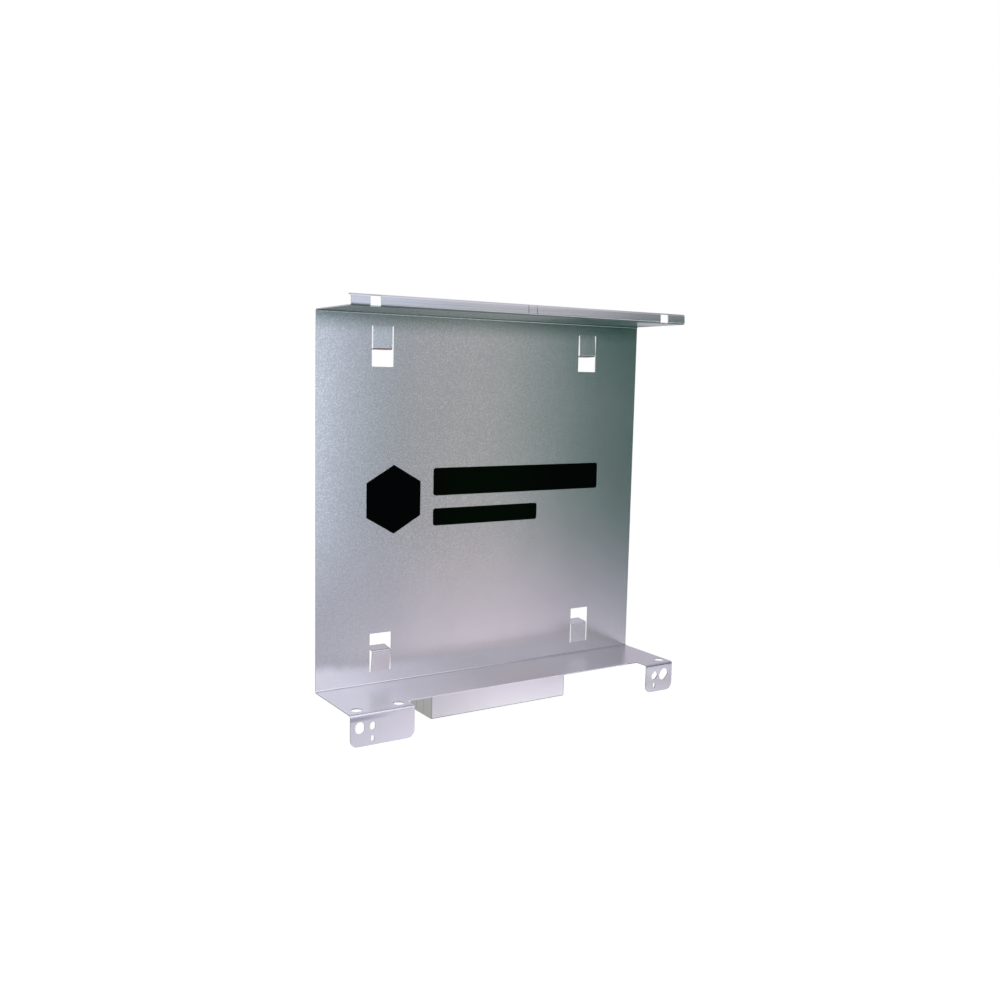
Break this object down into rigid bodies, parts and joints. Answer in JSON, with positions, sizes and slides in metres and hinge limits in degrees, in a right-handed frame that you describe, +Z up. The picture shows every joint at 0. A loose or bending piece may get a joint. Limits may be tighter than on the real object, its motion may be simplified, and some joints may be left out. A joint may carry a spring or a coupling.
{
  "type": "battery module spacer bracket",
  "caption": "Folded galvanised sheet bracket that fills an empty module slot: flanged back panel, bolt ears, lanced tabs and a shallow box below.",
  "frame": {"origin": "centre of the back panel's rear face", "axes": "+Z up the panel's height, +Y out of its rear face, so the flanges and ears reach forward along -Y; +X runs to the end with the short ear"},
  "size_m": [0.44, 0.1084, 0.4648],
  "materials": {
    "galvanised_sheet": "satin zinc coating with a fine mottled grain",
    "galvanised_box": "satin zinc coating",
    "black_film": "smooth semi-gloss black film"
  },
  "bodies": {
    "root": {"bracket": "galvanised_sheet", "lower_box": "galvanised_box", "marking_hexagon": "black_film", "marking_wide_bar": "black_film", "marking_narrow_bar": "black_film"}
  },
  "joints": []
}
